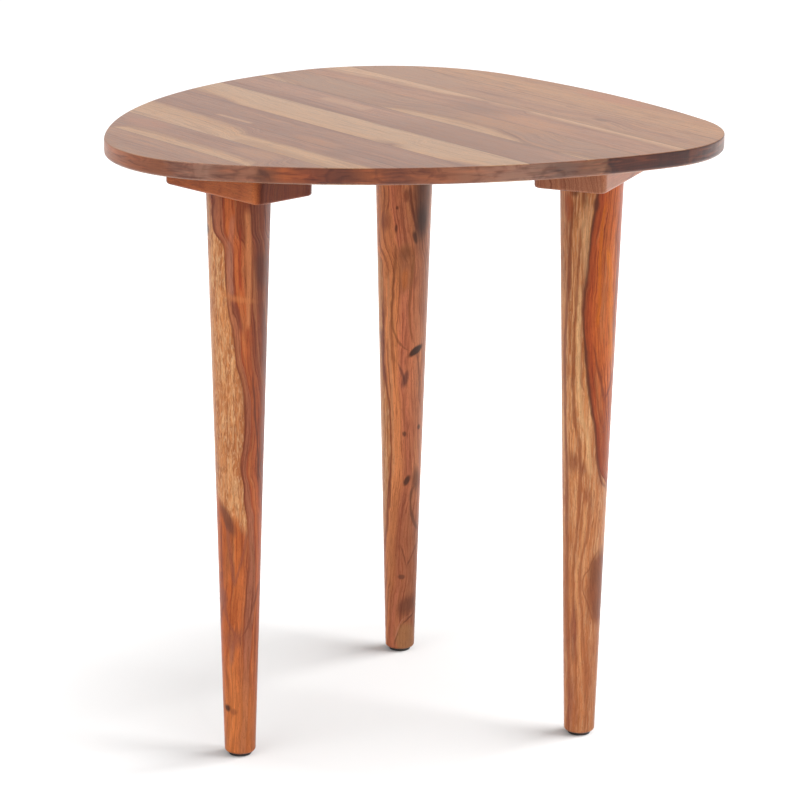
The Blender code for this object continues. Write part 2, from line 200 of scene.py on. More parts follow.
def add_slab(low, high):
    """The whole panel: its rim is spun arc by arc, filled and thickened, and its arrises are sanded."""
    arcs = rim_arcs()
    centre, radius, start, _ = arcs[0]
    panel = add_point((centre.x + radius * math.cos(start), centre.y + radius * math.sin(start), high.z))
    for centre, radius, start, end in arcs:
        sweep = (end - start) % math.tau
        steps = math.ceil(sweep * radius / RIM_STEP)
        bpy.ops.mesh.spin(steps=steps, angle=-sweep, center=(*centre, high.z), axis=(0, 0, 1))
    bpy.ops.mesh.select_all(action="SELECT")
    bpy.ops.mesh.remove_doubles(threshold=RIM_STEP / 10)
    bpy.ops.mesh.edge_face_add()
    bpy.ops.object.mode_set(mode="OBJECT")
    xs, ys, _ = zip(*(vert.co for vert in panel.data.vertices))
    middle = ((min(xs) + max(xs)) / 2, (min(ys) + max(ys)) / 2)
    scale = ((high.x - low.x) / (max(xs) - min(xs)), (high.y - low.y) / (max(ys) - min(ys)))
    bpy.ops.object.mode_set(mode="EDIT")
    bpy.ops.transform.translate(value=(-middle[0], -middle[1], 0))
    bpy.ops.transform.resize(value=(*scale, 1), center_override=(0, 0, high.z))
    bpy.ops.mesh.extrude_region_move(TRANSFORM_OT_translate={"value": (0, 0, low.z - high.z)})
    bpy.ops.mesh.select_all(action="SELECT")
    bpy.ops.mesh.normals_make_consistent(inside=False)
    for level, arris in ((high.z, RIM_UPPER_ARRIS), (low.z, RIM_LOWER_ARRIS)):
        select_where(panel, "edges", edges_at(panel, level))
        bpy.ops.mesh.bevel(offset=arris, segments=ARRIS_STEPS)
    bpy.ops.object.mode_set(mode="OBJECT")
    return panel


def add_pilot_plugs():
    """A plug for each cleat screw, to cut the holes that the screws bite into."""
    for screw in nodes_named("cleat_screw_"):
        low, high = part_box(screw.name)
        bpy.ops.mesh.primitive_cylinder_add(
            vertices=PILOT_STEPS, radius=SCREW_DIAMETER / 2 + PILOT_CLEARANCE,
            depth=high.z - low.z + PILOT_CLEARANCE,
            location=((low.x + high.x) / 2, (low.y + high.y) / 2, (low.z + high.z + PILOT_CLEARANCE) / 2))
        yield bpy.context.active_object


def to_linear(code):
    """Linear RGBA of an sRGB colour such as "#c98f62"."""
    channels = [int(code[i:i + 2], 16) / 255 for i in (1, 3, 5)]
    linear = [c / 12.92 if c <= 0.04045 else ((c + 0.055) / 1.055) ** 2.4 for c in channels]
    return (*linear, 1.0)


def add_node(tree, kind, inputs=None, **settings):
    """Add one node with its settings. An input is a value, a socket, or a node's first output."""
    node = tree.nodes.new("ShaderNode" + kind)
    for name, value in settings.items():
        setattr(node, name, value)
    for socket, value in (inputs or {}).items():
        if isinstance(value, bpy.types.Node):
            value = next(output for output in value.outputs if output.enabled)
        if isinstance(value, bpy.types.NodeSocket):
            tree.links.new(value, node.inputs[socket])
        else:
            node.inputs[socket].default_value = value
    return node


def new_material(name):
    """A new material, its node tree and its shader."""
    material = bpy.data.materials.new(name)
    material.use_nodes = True
    return material, material.node_tree, material.node_tree.nodes["Principled BSDF"]


def drawn_line(tree, along, points):
    """How far out a drawn line lies at each place along the grain, from (along, out) pairs in mm."""
    starts, outs = zip(*sorted(points))
    share = add_node(tree, "MapRange", {"Value": along, "From Min": starts[0], "From Max": starts[-1]})
    curve = add_node(tree, "FloatCurve", {"Value": share})
    low, high = min(outs) - 1, max(outs) + 1
    places = [((x - starts[0]) / (starts[-1] - starts[0]), (y - low) / (high - low))
              for x, y in zip(starts, outs)]
    knots = curve.mapping.curves[0].points
    knots[0].location, knots[-1].location = places[0], places[-1]
    for place in places[1:-1]:
        knots.new(*place)
    curve.mapping.update()
    return add_node(tree, "MapRange", {"Value": curve, "To Min": low, "To Max": high})


def vein_share(tree, along, across, points, width):
    """1 on a drawn vein of the wood, 0 beside it and beyond its ends. Width is half of the vein's, in mm."""
    off = add_node(tree, "Math", {0: across, 1: drawn_line(tree, along, points)}, operation="SUBTRACT")
    off = add_node(tree, "Math", {0: off}, operation="ABSOLUTE")
    share = add_node(tree, "MapRange", {"Value": off, "From Min": width * 1.3, "From Max": width * 0.3},
                     interpolation_type="SMOOTHSTEP")
    for end, inward in ((min(points)[0], 1), (max(points)[0], -1)):
        fade = add_node(tree, "MapRange", {"Value": along, "From Min": end - VEIN_FADE_PAST * inward,
                                           "From Max": end + VEIN_FADE_WITHIN * inward})
        share = add_node(tree, "Math", {0: share, 1: fade}, operation="MULTIPLY")
    return share


def stain_share(tree, grain, place, size, tilt, edge):
    """1 inside an egg-shaped stain, fading to 0 over its edge. Place and size (half axes) are in mm."""
    near = add_node(tree, "Mapping", {"Vector": grain, "Location": place, "Scale": size,
                                      "Rotation": (0, 0, math.radians(tilt))}, vector_type="TEXTURE")
    near = add_node(tree, "VectorMath", {0: near}, operation="LENGTH")
    return add_node(tree, "MapRange", {"Value": near, "From Min": 1 + edge / 2, "From Max": 1 - edge / 2},
                    interpolation_type="SMOOTHSTEP")


def streak_share(tree, where, low, high, **noise):
    """1 in the streaks of a noise laid on those coordinates, and 0 between them."""
    streak = add_node(tree, "TexNoise", {"Vector": where, "Scale": 1, **noise})
    return add_node(tree, "MapRange", {"Value": streak, "From Min": low, "From Max": high},
                    interpolation_type="SMOOTHSTEP")


def tones_along(tree, place, tones):
    """The wood's changing colour along a place in mm, from (mm, tone) pairs in order."""
    first, last = tones[0][0], tones[-1][0]
    share = add_node(tree, "MapRange", {"Value": place, "From Min": first, "From Max": last})
    ramp = add_node(tree, "ValToRGB", {"Fac": share})
    stops = ramp.color_ramp.elements
    while len(stops) < len(tones):
        stops.new(1)
    for stop, (mark, tone) in zip(stops, tones):
        stop.position = (mark - first) / (last - first)
        stop.color = to_linear(tone)
    return ramp.outputs["Color"]


def mix_in(tree, share, strength, colour, tone, blend="MIX"):
    """Lay a tone over a colour, where share says, at most as strongly as strength."""
    share = add_node(tree, "Math", {0: share, 1: strength}, operation="MULTIPLY")
    return add_node(tree, "Mix", {0: share, 6: colour, 7: to_linear(tone) if isinstance(tone, str) else tone},
                    data_type="RGBA", blend_type=blend).outputs[2]


def add_rosewood(name, place, turn, upright, heart, face, line, bands, seed=0, sapwood=None, knots=(),
                 veins=(), stains=(), glue=(), rim=(), streaks=0.7, years=0.6, gloss=0.25,
                 end_tone_and_shading="#d6c6c2"):
    """Oiled and satin-lacquered sheesham: red-brown, streaked and ringed, with a soft, uneven sheen.

    Place and turn bring the piece's grain along X, in mm. Heart is the tree's middle, (across, depth),
    and the growth rings run round it. Line is the ring that a drawn line of (along, across) pairs on the
    piece's face follows, where face(along, across) is the depth of that face. Bands are the colours that
    cross the rings, as (mm inside that line, colour). Sapwood lies outside the line, where it is given as
    (first place along the grain, slope, softness, stretch of its flecks). Veins are (half width, tone,
    strength, points), and stains and knots are (along, across, length, width, tilt, edge, tone, strength)
    and (..., swell). Glue is where the piece's glued edges lie across it. Rim is the tones of a sawn rim,
    with painted shade at its dark end, as (mm to the right, colour), and the end tone is what end grain's
    colour is multiplied by, with painted light and shade on some pieces. Streaks and years are the
    strengths of the streaks and of the yearly lines, and gloss that of the lacquer's shine.
    """
    material, tree, shader = new_material(name)
    where = add_node(tree, "TexCoord").outputs["Object"]
    normal = add_node(tree, "NewGeometry").outputs["Normal"]
    grain = add_node(tree, "Mapping", {"Vector": where, "Location": place, "Rotation": turn,
                                       "Scale": (MM, MM, MM)})
    along = add_node(tree, "SeparateXYZ", {0: grain}).outputs["X"]

    # The grain wanders slowly as the tree grew, and wriggles from fibre to fibre
    wavy = grain
    for length, width, reach in ((150, 26, 9), (16, 4, 2.4)):
        sway = add_node(tree, "VectorMath", {0: grain, 1: (1 / length, 1 / width, 1 / width),
                                             2: (seed, seed, 0)}, operation="MULTIPLY_ADD")
        sway = add_node(tree, "TexNoise", {"Vector": sway, "Scale": 1, "Detail": 2}).outputs["Color"]
        sway = add_node(tree, "VectorMath", {0: sway, 1: (0, reach, reach), 2: (0, -reach / 2, -reach / 2)},
                        operation="MULTIPLY_ADD")
        wavy = add_node(tree, "VectorMath", {0: wavy, 1: sway}, operation="ADD")
    across = add_node(tree, "SeparateXYZ", {0: wavy}).outputs["Y"]
    ring = add_node(tree, "VectorMath", {0: wavy, 1: (0, 1, 1), 2: (0, -heart[0], -heart[1])},
                    operation="MULTIPLY_ADD")
    ring = add_node(tree, "VectorMath", {0: ring}, operation="LENGTH")
    for x, y, length, width, swell in knots:
        bulge = stain_share(tree, grain, (x, y, face(x, y)), (length, width, KNOT_DEPTH), tilt=0, edge=2)
        ring = add_node(tree, "Math", {0: bulge, 1: swell, 2: ring}, operation="MULTIPLY_ADD")
    rings = [(x, math.hypot(y - heart[0], face(x, y) - heart[1])) for x, y in line]
    inside = add_node(tree, "Math", {0: drawn_line(tree, along, rings), 1: ring}, operation="SUBTRACT")

    # Broad bands of colour across the rings, no two years alike
    rings = add_node(tree, "CombineXYZ", {"X": inside, "Y": along, "Z": seed})
    uneven = add_node(tree, "VectorMath", {0: rings, 1: (1 / 9, 1 / 240, 1)}, operation="MULTIPLY")
    uneven = add_node(tree, "TexNoise", {"Vector": uneven, "Scale": 1, "Detail": 2})
    uneven = add_node(tree, "MapRange", {"Value": uneven, "To Min": -BAND_DRIFT, "To Max": BAND_DRIFT})
    depth = add_node(tree, "Math", {0: inside, 1: uneven}, operation="ADD")
    colour = tones_along(tree, depth, bands)

    # Streaks that follow the rings: broad ones, veins a few mm wide, and short wriggling flecks
    for width, length, low, high, strength, tone, blend in (
            (8.0, 260, 0.44, 0.72, 0.40 * streaks, "#8e4c2e", "MULTIPLY"),
            (2.6, 85, 0.48, 0.70, 0.70 * streaks, "#84422a", "MULTIPLY"),
            (1.2, 24, 0.50, 0.72, 0.60 * streaks, "#84422a", "MULTIPLY"),
            (4.2, 120, 0.50, 0.75, 0.60 * streaks, "#d08a55", "MIX")):
        streak = add_node(tree, "VectorMath", {0: rings, 1: (1 / width, 1 / length, 1)}, operation="MULTIPLY")
        streak = streak_share(tree, streak, low, high, Detail=3, Roughness=0.6, Distortion=0.3)
        colour = mix_in(tree, streak, strength, colour, tone, blend)

    # Pale sapwood, mottled with short brown flecks
    if sapwood:
        start, slope, softness, stretch = sapwood
        share = add_node(tree, "MapRange", {"Value": inside, "From Min": 0.5, "From Max": -0.3})
        reach = add_node(tree, "Math", {0: across, 1: slope, 2: along}, operation="MULTIPLY_ADD")
        reach = add_node(tree, "MapRange", {"Value": reach, "From Min": start - softness,
                                            "From Max": start + softness}, interpolation_type="SMOOTHSTEP")
        share = add_node(tree, "Math", {0: share, 1: reach}, operation="MULTIPLY")
        years_left = add_node(tree, "MapRange", {"Value": share, "To Min": 1.0, "To Max": 0.2})
        pale = to_linear("#c37f4d")
        for width, length, strength, tone in ((5, 70, 0.7, "#9e572d"), (3, 30, 0.7, "#dba674"),
                                              (1.6, 13, 0.6, "#884521"), (6, 17, 0.4, "#965530"),
                                              (1.1, 6, 0.45, "#e1b687")):
            fleck = add_node(tree, "VectorMath", {0: wavy, 1: (1 / length / stretch, 1 / width, 1 / width)},
                             operation="MULTIPLY")
            fleck = streak_share(tree, fleck, 0.48, 0.68, Detail=2, Distortion=0.6)
            pale = mix_in(tree, fleck, strength, pale, tone)
        colour = mix_in(tree, share, 1, colour, pale)

    # A thin dark line ends each year's growth, strong in some years and faint in others
    year = add_node(tree, "Math", {0: depth, 1: YEAR_WIDTH}, operation="DIVIDE")
    year = add_node(tree, "Math", {0: year}, operation="FRACT")
    year = add_node(tree, "MapRange", {"Value": year, "From Min": 0.42, "From Max": 0.02},
                    interpolation_type="SMOOTHSTEP")
    vigour = add_node(tree, "VectorMath", {0: rings, 1: (1 / 5, 1 / 90, 1)}, operation="MULTIPLY")
    vigour = add_node(tree, "TexNoise", {"Vector": vigour, "Scale": 1, "Detail": 1})
    vigour = add_node(tree, "MapRange", {"Value": vigour, "From Min": 0.38, "From Max": 0.62})
    year = add_node(tree, "Math", {0: year, 1: vigour}, operation="MULTIPLY")
    if sapwood:
        year = add_node(tree, "Math", {0: year, 1: years_left}, operation="MULTIPLY")
    colour = mix_in(tree, year, years, colour, "#94523a", "MULTIPLY")

    # Veins and stains that are this piece's own
    for width, tone, strength, points in veins:
        colour = mix_in(tree, vein_share(tree, along, across, points, width), strength, colour, tone)
    for x, y, length, width, tilt, edge, tone, strength in stains:
        size = (length, width, max(width, STAIN_DEPTH))
        share = stain_share(tree, wavy, (x, y, face(x, y)), size, tilt, edge)
        colour = mix_in(tree, share, strength, colour, tone)

    # Fibres, and pores that show as short dark dashes
    fibre = add_node(tree, "VectorMath", {0: wavy, 1: (1 / 22, 1 / 0.7, 1 / 0.7)}, operation="MULTIPLY")
    fibre = add_node(tree, "TexNoise", {"Vector": fibre, "Scale": 1, "Detail": 3})
    lightness = add_node(tree, "MapRange", {"Value": fibre, "From Min": 0.3, "From Max": 0.7, "To Min": 0.80,
                                            "To Max": 1.18})
    colour = add_node(tree, "VectorMath", {0: colour, "Scale": lightness}, operation="SCALE")
    pore = add_node(tree, "VectorMath", {0: grain, 1: (1 / 5, 1 / 0.9, 1 / 0.9)}, operation="MULTIPLY")
    pore = add_node(tree, "TexVoronoi", {"Vector": pore, "Scale": 1})
    pore = add_node(tree, "MapRange", {"Value": pore.outputs["Distance"], "From Min": 0.24, "From Max": 0.14})
    colour = mix_in(tree, pore, 0.35, colour, "#3a1c12")

    # Dark glue lines along a board's edges
    if glue:
        aside = add_node(tree, "SeparateXYZ", {0: grain}).outputs["Y"]
        beside = [add_node(tree, "Math", {0: aside, 1: seam, 2: GLUE_LINE}, operation="COMPARE")
                  for seam in glue]
        beside = add_node(tree, "Math", {0: beside[0], 1: beside[-1]}, operation="MAXIMUM")
        colour = mix_in(tree, beside, 0.45, colour, "#4a2a1c")

    # End grain drinks the lacquer, and takes its own tone. On two of the cleats that tone also carries
    # painted light and shade
    facing = add_node(tree, "VectorMath", {0: normal, 1: upright}, operation="DOT_PRODUCT")
    facing = add_node(tree, "Math", {0: facing}, operation="ABSOLUTE")
    facing = add_node(tree, "MapRange", {"Value": facing, "From Min": 0.35, "From Max": 0.95})
    colour = mix_in(tree, facing, 1, colour, end_tone_and_shading, "MULTIPLY")

    # A sawn rim cuts across one board's rings after another, so its tones change along it. Its dark right end
    # is partly painted shade
    if rim:
        swirl = add_node(tree, "TexNoise", {"Vector": where, "Scale": 70, "Detail": 2})
        swirl = add_node(tree, "MapRange", {"Value": swirl, "To Min": -14, "To Max": 14})
        spot = add_node(tree, "SeparateXYZ", {0: where}).outputs["X"]
        spot = add_node(tree, "Math", {0: spot, 1: MM, 2: swirl}, operation="MULTIPLY_ADD")
        sawn_and_shaded = tones_along(tree, spot, rim)
        for scale, strength, tone, blend in (
                ((28, 28, 330), 0.6, "#6a3418", "ADD"), ((34, 34, 420), 0.5, "#8e5a48", "MULTIPLY"),
                ((60, 60, 90), 0.5, "#8e5a48", "MULTIPLY"), ((900, 900, 60), 0.25, "#3a2018", "ADD")):
            streak = add_node(tree, "Mapping", {"Vector": where, "Scale": scale, "Rotation": (0.06, 0.1, 0)})
            streak = streak_share(tree, streak, 0.5, 0.7, Detail=2, Distortion=0.8)
            sawn_and_shaded = mix_in(tree, streak, strength, sawn_and_shaded, tone, blend)
        upward = add_node(tree, "SeparateXYZ", {0: normal}).outputs["Z"]
        upward = add_node(tree, "Math", {0: upward}, operation="ABSOLUTE")
        share = add_node(tree, "MapRange", {"Value": upward, "From Min": 0.8, "From Max": 0.4})
        colour = mix_in(tree, share, 1, colour, sawn_and_shaded)
    tree.links.new(colour, shader.inputs["Base Color"])

    # Satin lacquer, thin enough for the fibres and pores to show in its sheen
    shader.inputs["IOR"].default_value = LACQUER_IOR
    shader.inputs["Specular IOR Level"].default_value = gloss
    sheen = add_node(tree, "MapRange", {"Value": fibre, "From Min": 0.3, "From Max": 0.7, "To Min": 0.30,
                                        "To Max": 0.42})
    tree.links.new(sheen.outputs[0], shader.inputs["Roughness"])
    relief = add_node(tree, "Math", {0: pore, 1: -1.0, 2: fibre}, operation="MULTIPLY_ADD")
    relief = add_node(tree, "Bump", {"Height": relief, "Strength": 0.25, "Distance": 0.0001})
    tree.links.new(relief.outputs[0], shader.inputs["Normal"])
    return material


# Each board's figure, in mm along and across the boards from the middle of the top. Boards 2, 3, 5, 7
# and 8 carry pale sapwood on one side of their line, and the rest are all heartwood.
BOARD_FIGURES = (
    {"heart": (-200, -30), "line": [(-300, -305), (300, -305)],
     "bands": [(0, "#a77656"), (18, "#9d6b4f"), (34, "#ab795a"), (50, "#a26f51")]},
    {"heart": (-160, -30), "line": [(-300, -262), (-112, -258), (-95, -243), (-40, -240), (40, -240),
                                    (93, -243), (112, -258), (300, -262)],
     "bands": [(-20, "#c4976f"), (-6, "#c8976c"), (2.5, "#9e6c4f"), (5, "#a47155"), (20, "#9f6d52"),
               (40, "#a7765a")],
     "stains": [(-100, -222, 28, 12, 0, 0.9, "#af7253", 0.6), (66, -220, 30, 12, 0, 0.9, "#b57f59", 0.6)]},
    {"heart": (-90, -25), "line": [(-230, -160), (-153, -163), (-110, -163), (-73, -165), (-47, -167),
                                   (-20, -173), (0, -180), (60, -178), (157, -177), (240, -178)],
     "bands": [(-50, "#c59873"), (-6, "#ca996d"), (2.5, "#9e6c4f"), (5, "#a16c50"), (25, "#a7765a")],
     "veins": [(8, "#ad7c56", 0.8, [(5, -202), (60, -200), (120, -203), (240, -200)])],
     "stains": [(105, -167, 20, 8, 0, 1.5, "#875940", 0.6)]},
    {"heart": (-80, -20), "line": [(-300, -157), (300, -157)],
     "bands": [(0, "#9a684e"), (18, "#9d6b51"), (35, "#a77559"), (50, "#99664d")],
     "veins": [(3, "#c6946c", 0.7, [(-100, -147), (-47, -147)])],
     "stains": [(53, -147, 32, 8, 0, 1.4, "#bb7c4f", 0.45)]},
    {"heart": (-180, -25), "line": [(-230, -95), (-210, -97), (-143, -105), (-117, -110), (88, -110),
                                    (98, -101), (110, -112), (157, -110), (183, -103), (207, -97),
                                    (230, -92)],
     "bands": [(-60, "#c99e79"), (-20, "#c69a74"), (-6, "#cb996d"), (1.5, "#9f6c4e"), (4, "#a47155"),
               (20, "#a16c51")],
     "veins": [(0.8, "#9b6a4d", 0.7, [(-200, -60), (-110, -58.5), (0, -58), (200, -60)])],
     "stains": [(95, -103, 20, 8, 0, 1.4, "#8e6047", 0.6)], "streaks": 0.25},
    {"heart": (-120, -20), "line": [(-300, -7), (300, -7)],
     "bands": [(0, "#a5755a"), (10, "#b78265"), (30, "#ab785c"), (50, "#9a684e")],
     "veins": [(8, "#c5946f", 0.6, [(-110, -23), (-40, -23)])],
     "stains": [(120, -30, 110, 26, 0, 0.9, "#946346", 0.6)]},
    {"heart": (80, -25), "line": [(-240, 6), (-227, 5), (-207, 2), (-183, -3), (-157, -9), (-60, -9),
                                  (-43, -5), (-23, 3), (0, 8), (27, 13), (53, 15), (83, 14), (110, 9),
                                  (137, 3), (160, -5), (190, -8), (215, 0), (240, 2)],
     "bands": [(-25, "#c99e79"), (-6, "#cb996d"), (2.5, "#9f6c4d"), (5, "#a77656"), (15, "#a9785b"),
               (40, "#ad7c5d")],
     "stains": [(85, 40, 60, 22, 0, 0.9, "#b57b51", 0.7), (-150, 18, 70, 22, 0, 0.9, "#ab7f62", 0.6)]},
    {"heart": (10, -25), "line": [(-230, 66), (-203, 67), (-157, 72), (-123, 73), (-90, 75), (-57, 78),
                                  (-37, 83), (-20, 88), (0, 92), (40, 92), (60, 86), (85, 84), (110, 83),
                                  (200, 83), (257, 82)],
     "bands": [(-12, "#d4a47c"), (-6, "#cd9b73"), (1.5, "#a97354"), (5, "#b37d5e"), (20, "#b67f5e"),
               (45, "#af7859")],
     "knots": [(15, 60, 40, 25, 12)],
     "stains": [(85, 60, 55, 12, 0, 0.9, "#c18357", 0.6), (15, 60, 38, 15, 0, 1.5, "#916248", 0.75)]},
    {"heart": (160, -25), "line": [(-300, 93), (300, 93)],
     "bands": [(0, "#b98560"), (20, "#b37e5d"), (35, "#be8861"), (50, "#b07b59")],
     "knots": [(118, 118, 32, 20, 9)],
     "stains": [(-150, 118, 75, 25, 0, 0.8, "#af8163", 0.6), (118, 118, 9, 4.5, 0, 1.3, "#83573f", 0.75)]},
    {"heart": (120, -25), "line": [(-300, 205), (300, 205)],
     "bands": [(0, "#ba8158"), (15, "#c2885d"), (35, "#c89063"), (60, "#bb855f")],
     "stains": [(53, 192, 50, 12, 0, 0.8, "#c07955", 0.6)]},
)

# The rim's tones from left to right: tan, mauve end grain, orange and brown, mauve, and a dark right end
# that is partly the wood's own colour and partly painted shade
RIM_TONES_AND_SHADE = (
    (-271, "#9b6245"), (-240, "#874c2f"), (-216, "#7e472c"), (-205, "#7f5241"), (-178, "#8c6452"),
    (-162, "#7c4e3b"), (-139, "#905c44"), (-130, "#623623"), (-110, "#914821"), (-85, "#77361b"),
    (-65, "#5f2d1b"), (-36, "#864523"), (-18, "#67331f"), (14, "#8e5032"), (50, "#8f5d45"),
    (78, "#956b58"), (100, "#906855"), (120, "#705144"), (143, "#774b37"), (158, "#855940"),
    # From here to the right end the tones are darkened further, as painted shade
    (163, "#3f1709"), (190, "#4b1b09"), (215, "#3c1105"), (230, "#3c1105"), (236, "#602a10"),
    (243, "#3c1105"), (258, "#522412"), (271, "#714b38"))
BOARD_FINISH = {"streaks": 0.45, "years": 0.3, "gloss": 0.5}

board_nodes = nodes_named("top_board_")
top_low = Vector((cad_low.x, cad_low.y, min(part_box(node.name)[0].z for node in board_nodes)))
slab = add_slab(top_low, cad_high)
plugs, *others = add_pilot_plugs()
join_pieces(plugs, *others)
for number, node in enumerate(board_nodes, start=1):
    places = [vert.co.dot(ACROSS_BOARDS) for vert in node.data.vertices]
    seams = [(min(places) - GLUE_SEAT, ACROSS_BOARDS), (max(places) + GLUE_SEAT, -ACROSS_BOARDS)]
    glued = seams[number == 1:len(seams) - (number == len(board_nodes))]
    board = copy_piece(slab, f"wood_board_{number:02d}")
    select_only(board)
    bpy.ops.object.mode_set(mode="EDIT")
    for seam, side in glued:
        bpy.ops.mesh.select_all(action="SELECT")
        bpy.ops.mesh.bisect(plane_co=ACROSS_BOARDS * seam, plane_no=side, use_fill=True, clear_inner=True)
    bpy.ops.object.mode_set(mode="OBJECT")
    apply_modifier(board, "BOOLEAN", operation="DIFFERENCE", solver="EXACT", object=plugs)
    smooth(board)
    board.data.materials.append(add_rosewood(
        f"rosewood_board_{number:02d}", (0, 0, -MM * cad_high.z), (0, 0, -BOARD_DIRECTION), ALONG_BOARDS,
        face=lambda along, across: 0, seed=number, glue=[MM * seam for seam, _ in glued], rim=RIM_TONES_AND_SHADE,
        **{**BOARD_FINISH, **BOARD_FIGURES[number - 1]}))
    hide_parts(node.name)
    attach(board, "root")
bpy.data.objects.remove(slab)
bpy.data.objects.remove(plugs)

# Cleats. Each is a block of the same rosewood under the top, over a leg, with its grain along its long
# side. Its standing and lower edges are rounded, and it is bored for the insert and four screws.
CLEAT_LENGTH = 0.124
CLEAT_WIDTH = 0.0666
CLEAT_CORNER_ROUND = 0.008
CLEAT_CORNER_STEPS = 8
CLEAT_EDGE_ROUND = 0.0025
CLEAT_EDGE_STEPS = 5
INSERT_BORE = 0.0123
INSERT_RECESS = 0.0176
INSERT_RECESS_DEPTH = 0.0018
SCREW_INSET = 0.014
SCREW_BORE = 0.0046
SCREW_HEAD_BORE = 0.0091
SCREW_HEAD_DEPTH = 0.0014
COUNTERSINK_DEPTH = 0.0034
BORE_STEPS = 48
STATIONS = ("front_left", "front_right", "back")

# The cleats' figure, in mm along and across their grain from the table's middle and up from the floor:
# the tree's middle, a level inside the cleats, and the ring from which their bands are counted
CLEAT_HEART = (40, 500)
CLEAT_FACE = 530
CLEAT_LINE = [(-300, 0), (300, 4)]
CLEAT_FIGURES = {
    # The front-left cleat's end is darkened past plain end grain, partly as painted shade on the end turned
    # from the lamp
    "front_left": {"bands": [(-30, "#b66334"), (0, "#c0703d"), (30, "#a55932")], "seed": 20, "streaks": 0.6,
                   "end_tone_and_shading": "#a38a75"},
    # The front-right cleat's end is left as light as its sides, partly for its own streaky grain and partly
    # as painted light on the end that faces the lamp
    "front_right": {"bands": [(-30, "#af7456"), (0, "#b47c61"), (30, "#a66d51")], "seed": 27,
                    "streaks": 0.5, "end_tone_and_shading": "#ffffff"},
    "back": {"bands": [(-30, "#b0683f"), (0, "#bf7748"), (30, "#a86040")], "seed": 33, "streaks": 0.6},
}


def middle_of(node):
    low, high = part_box(node)
    return (low + high) / 2


def cut_bore(piece, place, low, high, low_diameter, high_diameter=None):
    """Cut a bore or, with two diameters, a countersink into a piece, between two heights."""
    bpy.ops.mesh.primitive_cone_add(
        vertices=BORE_STEPS, radius1=low_diameter / 2, radius2=(high_diameter or low_diameter) / 2,
        depth=high - low, location=(*place, (low + high) / 2))
    cutter = bpy.context.active_object
    apply_modifier(piece, "BOOLEAN", operation="DIFFERENCE", solver="EXACT", object=cutter)
    bpy.data.objects.remove(cutter)


def set_up(piece, place, turn):
    """Turn a piece and put it in its place, and leave the object itself at the origin."""
    select_only(piece)
    piece.location = place
    piece.rotation_euler.z = turn
    bpy.ops.object.transform_apply(location=True, rotation=True, scale=True)


cleat_low, cleat_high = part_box("cleat_back")
cleat_thickness = cleat_high.z - cleat_low.z
bpy.ops.mesh.primitive_cube_add(size=1, location=(0, 0, cleat_thickness / 2),
                                scale=(CLEAT_WIDTH, CLEAT_LENGTH, cleat_thickness))
blank = bpy.context.active_object
select_only(blank)
bpy.ops.object.transform_apply(location=True, rotation=True, scale=True)
bpy.ops.object.mode_set(mode="EDIT")
select_where(blank, "edges", lambda edge: len({blank.data.vertices[i].co.z for i in edge.vertices}) == 2)
bpy.ops.mesh.bevel(offset=CLEAT_CORNER_ROUND, segments=CLEAT_CORNER_STEPS)
select_where(blank, "edges", edges_at(blank, 0))
bpy.ops.mesh.bevel(offset=CLEAT_EDGE_ROUND, segments=CLEAT_EDGE_STEPS)
bpy.ops.object.mode_set(mode="OBJECT")
cut_bore(blank, (0, 0), -WELD, cleat_thickness * 2, INSERT_BORE)
cut_bore(blank, (0, 0), -cleat_thickness, INSERT_RECESS_DEPTH, INSERT_RECESS)
for side in (1, -1):
    for end in (1, -1):
        place = (side * (CLEAT_WIDTH / 2 - SCREW_INSET), end * (CLEAT_LENGTH / 2 - SCREW_INSET))
        cut_bore(blank, place, -WELD, cleat_thickness * 2, SCREW_BORE)
        cut_bore(blank, place, -cleat_thickness, SCREW_HEAD_DEPTH, SCREW_HEAD_BORE)
        cut_bore(blank, place, SCREW_HEAD_DEPTH - WELD, SCREW_HEAD_DEPTH + COUNTERSINK_DEPTH,
                 SCREW_HEAD_BORE, SCREW_BORE)
for station in STATIONS:
    axis = middle_of("hanger_bolt_" + station)
    front = (middle_of(f"cleat_screw_{station}_1") + middle_of(f"cleat_screw_{station}_2")) / 2
    facing = bearing(axis, front)
    cleat = copy_piece(blank, "wood_cleat_" + station)
    set_up(cleat, (axis.x, axis.y, cleat_low.z), facing)
    smooth(cleat)
    cleat.data.materials.append(add_rosewood(
        "rosewood_cleat_" + station, (0, 0, 0), (0, 0, -facing - math.pi / 2),
        Vector((-math.sin(facing), math.cos(facing), 0)), CLEAT_HEART, lambda along, across: CLEAT_FACE,
        CLEAT_LINE, **CLEAT_FIGURES[station]))
    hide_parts("cleat_" + station)
    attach(cleat, "root")
bpy.data.objects.remove(blank)

# Cleat screws. Each is a cold-headed wood screw of zinc-plated steel, with a cross recess, and is driven
# up through the cleat into the top. The inserts and hanger bolts that hold the legs keep their CAD form,
# in the same zinc.
SCREW_STEPS = 48
SCREW_HEAD_DIAMETER = 0.0085
SCREW_HEAD_HEIGHT = 0.0036
SCREW_RIM_HEIGHT = 0.0005
SCREW_ARRIS = 0.0002
SCREW_ROOT_DIAMETER = 0.0028
SCREW_NARROW_LENGTH = 0.018
SCREW_POINT_LENGTH = 0.004
SCREW_TURN = 0.3
THREAD_PITCH = 0.0018
THREAD_TURNS = 6
THREAD_SEAT_SHARE = 0.98
RECESS_WIDTH = 0.001
RECESS_LENGTH = 0.0046
RECESS_DEPTH = 0.0018


